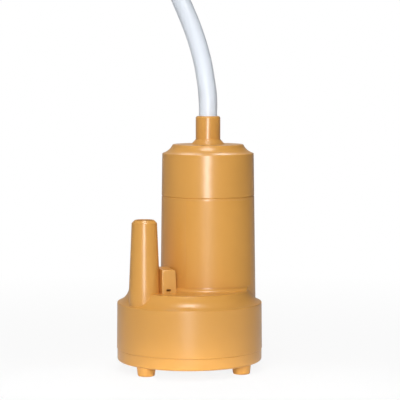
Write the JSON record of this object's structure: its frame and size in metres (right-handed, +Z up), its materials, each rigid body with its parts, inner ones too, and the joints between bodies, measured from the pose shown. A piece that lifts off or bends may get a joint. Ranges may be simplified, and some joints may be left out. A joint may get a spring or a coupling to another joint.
{
  "type": "caravan water pump",
  "caption": "Submersible caravan water pump: upright motor tube on a short round strainer base, tapered hose tail, self-venting block and a cable from the cap's gland.",
  "frame": {"origin": "centre of the round base on the surface that the feet stand on", "axes": "+Z up along the base's axis, +X to the right and +Y to the back, so that the hose tail is at the front left"},
  "size_m": [0.0606, 0.2296, 0.1767],
  "materials": {
    "ochre_plastic": "moulded, satin gloss",
    "label_film": "clear film over the ochre plastic, bare",
    "steel": "plain stainless",
    "black_rubber": "matt nitrile",
    "pale_plastic": "natural moulded",
    "black_plastic": "moulded",
    "iron": "laminated core and ferrite",
    "copper": "enamelled wire and copper strip",
    "bronze": "sintered",
    "capacitor_body": "dipped",
    "red_insulation": "soft wire insulation",
    "black_insulation": "soft wire insulation",
    "white_sheath": "soft white cable sheath"
  },
  "bodies": {
    "body": {"pump_housing": "ochre_plastic", "top_cap": "ochre_plastic", "bottom_cover": "ochre_plastic", "rating_label": "label_film", "volute_plate": "ochre_plastic", "plate_screws": "steel", "shaft_seal": "black_rubber", "seal_spring": "steel", "seal_retainer": "steel", "vent_bush": "pale_plastic", "motor_can": "steel", "field_magnets": "iron", "magnet_clips": "steel", "drive_end_bush": "bronze", "end_bell": "black_plastic", "rear_bush": "bronze", "carbon_brushes": "black_plastic", "brush_arms": "copper", "motor_terminals": "copper", "motor_damper": "black_rubber", "suppression_capacitor": "capacitor_body", "lead_positive": "red_insulation", "lead_negative": "black_insulation", "cable_inner": "white_sheath", "strain_relief_tie": "pale_plastic", "gland_potting": "black_plastic", "cable": "white_sheath", "cable_hank": "white_sheath", "hank_tie": "black_plastic", "core_positive": "red_insulation", "core_negative": "black_insulation", "core_ferrules": "steel"},
    "rotor": {"motor_shaft": "steel", "armature_core": "iron", "armature_windings": "copper", "commutator_hub": "black_plastic", "commutator_segments": "copper", "thrust_washers": "pale_plastic", "impeller": "pale_plastic", "impeller_clip": "steel"},
    "float_ball": {"vent_ball": "steel"}
  },
  "joints": [
    {"name": "rotor_spin", "type": "hinge", "parent": "body", "child": "rotor", "pos_m": [0.0076, 0.0058, 0.03], "axis": [0, 0, 1], "continuous": true},
    {"name": "vent_ball_lift", "type": "slide", "parent": "body", "child": "float_ball", "axis": [0, 0, 1], "range_m": [0, 0.0018]}
  ]
}
